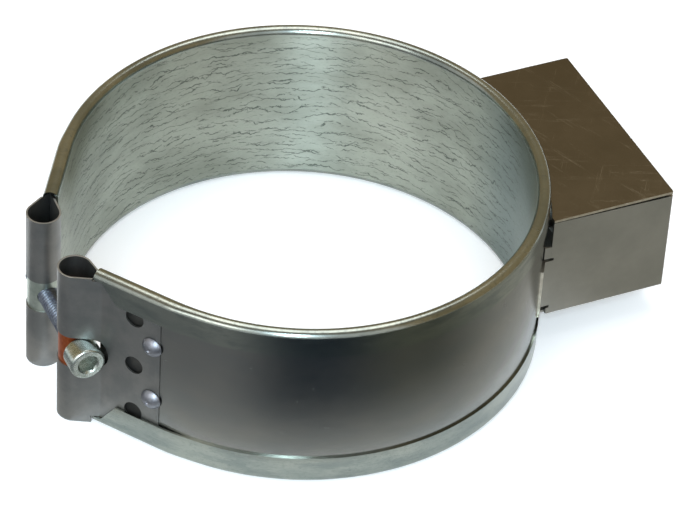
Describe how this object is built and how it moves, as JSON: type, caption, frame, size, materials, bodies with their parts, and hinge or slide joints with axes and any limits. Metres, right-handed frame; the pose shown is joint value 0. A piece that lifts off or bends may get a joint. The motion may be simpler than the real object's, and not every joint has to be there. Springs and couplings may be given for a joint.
{
  "type": "band heater",
  "caption": "Clamp-on heater band with hemmed sheet-metal sheath, screw-closed gap and a sheet terminal box on the opposite side.",
  "frame": {"origin": "centre of the bore: on the band axis, in the middle of the band's width", "axes": "+Z along the band axis, +X from the band axis to the terminal box, -X to the clamping gap; the clamp screw runs along Y with its head at -Y"},
  "size_m": [0.1813, 0.1376, 0.0536],
  "materials": {
    "galvanised_sheath": "galvanised sheet, dull with fine dark crackle",
    "cover_sheet": "smooth rolled sheet, satin",
    "clamp_sheet": "satin sheet with bright cut edges",
    "rivet_steel": "satin domed rivets",
    "copper_barrel": "dull copper-coloured plating",
    "zinc_barrel": "pale zinc plating",
    "screw_zinc": "bright zinc plating",
    "box_sheet": "satin sheet",
    "lid_sheet": "satin sheet with light scratches",
    "mica": "matt laminated mica",
    "ribbon_alloy": "oxidised resistance ribbon",
    "lead_nickel": "nickel wire",
    "ceramic_white": "unglazed steatite",
    "clamp_brass": "turned brass",
    "small_steel": "zinc-plated small screws",
    "entry_brass": "nickel-plated brass, worn"
  },
  "bodies": {
    "heater": {"inner_sheath": "galvanised_sheath", "outer_cover": "cover_sheet", "inner_mica": "mica", "resistance_ribbon": "ribbon_alloy", "outer_mica": "mica", "front_clamp_loop": "clamp_sheet", "rear_clamp_loop": "clamp_sheet", "front_loop_rivets": "rivet_steel", "rear_loop_rivets": "rivet_steel", "head_barrel": "copper_barrel", "thread_barrel": "zinc_barrel", "box_housing": "box_sheet", "element_leads": "lead_nickel", "terminal_block": "ceramic_white", "terminal_clamps": "clamp_brass", "terminal_screws": "small_steel", "block_screw": "small_steel", "earth_screw": "small_steel", "entry_bush": "entry_brass", "bush_nut": "entry_brass"},
    "screw": {"clamp_screw": "screw_zinc"},
    "lid": {"box_lid": "lid_sheet"}
  },
  "joints": [
    {"name": "screw_turn", "type": "hinge", "parent": "heater", "child": "screw", "pos_m": [-0.073, 0, -0.00165], "axis": [0, 1, 0], "continuous": true},
    {"name": "lid_lift", "type": "slide", "parent": "heater", "child": "lid", "axis": [0, 0, 1], "range_m": [0, 0.03]}
  ]
}
